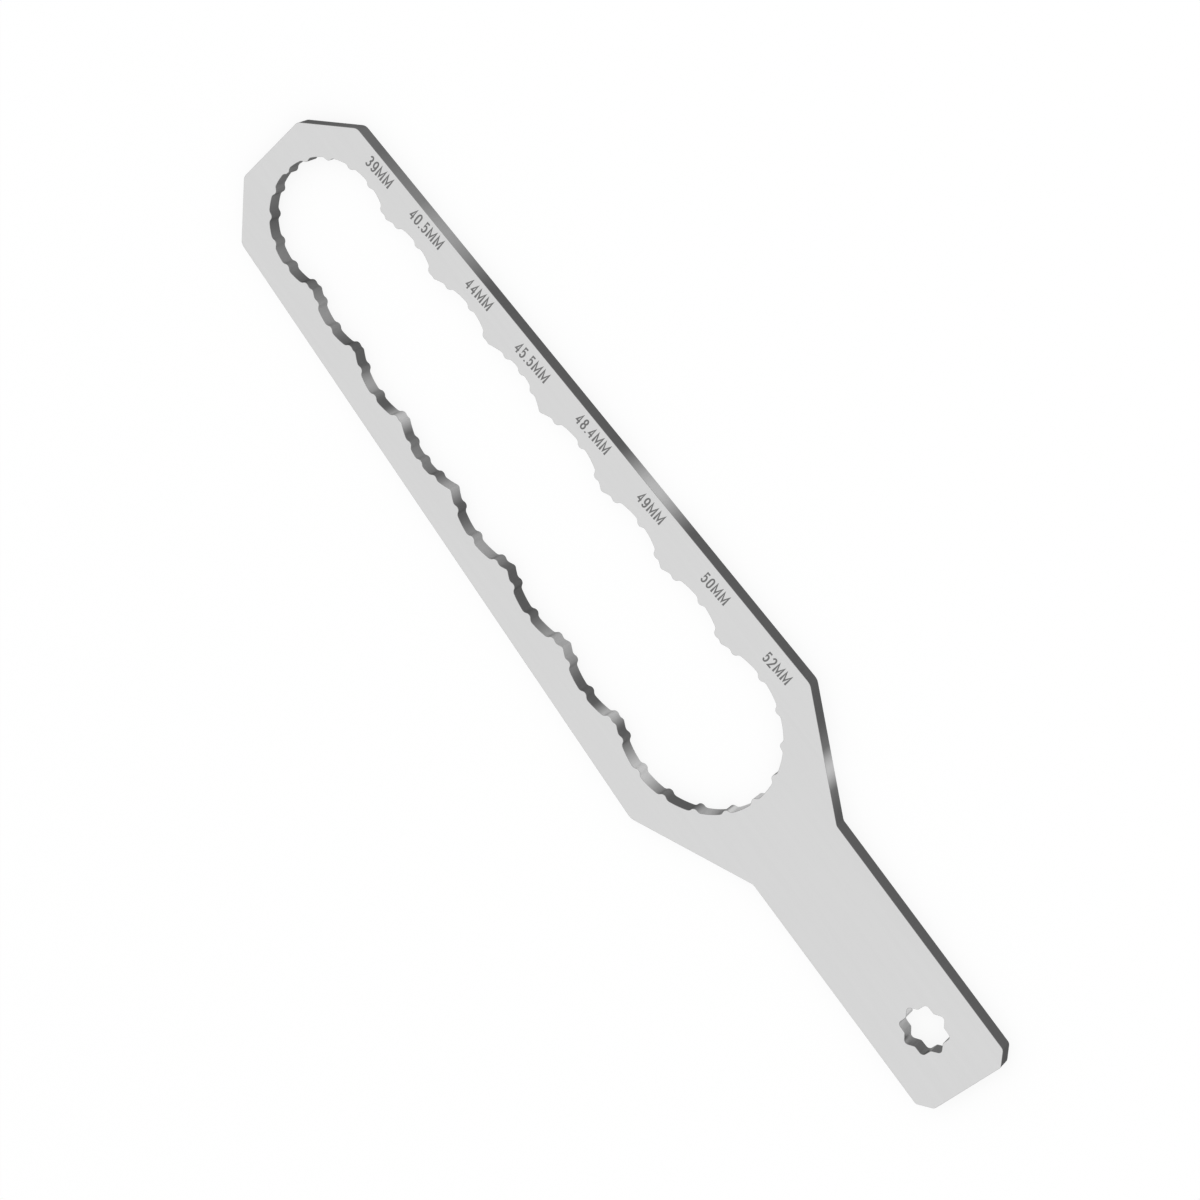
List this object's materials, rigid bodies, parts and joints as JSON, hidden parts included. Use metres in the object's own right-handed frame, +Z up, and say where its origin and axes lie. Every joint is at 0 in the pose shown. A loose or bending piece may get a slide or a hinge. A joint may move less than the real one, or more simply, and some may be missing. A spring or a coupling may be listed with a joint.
{
  "type": "bottom bracket wrench",
  "caption": "Flat steel bottom bracket wrench: toothed cup sockets run together into a tapered slot in a long head, with a plain straight handle and a star-shaped hole.",
  "frame": {"origin": "on the underside of the plate, under the middle of its overall length and width", "axes": "+X along the plate from the head's tip to the end of the handle, +Y across it, +Z up out of the face with the size marks"},
  "size_m": [0.324, 0.0748, 0.0046],
  "materials": {
    "steel": "satin, pale grey"
  },
  "bodies": {
    "root": {"wrench_plate": "steel"}
  },
  "joints": []
}
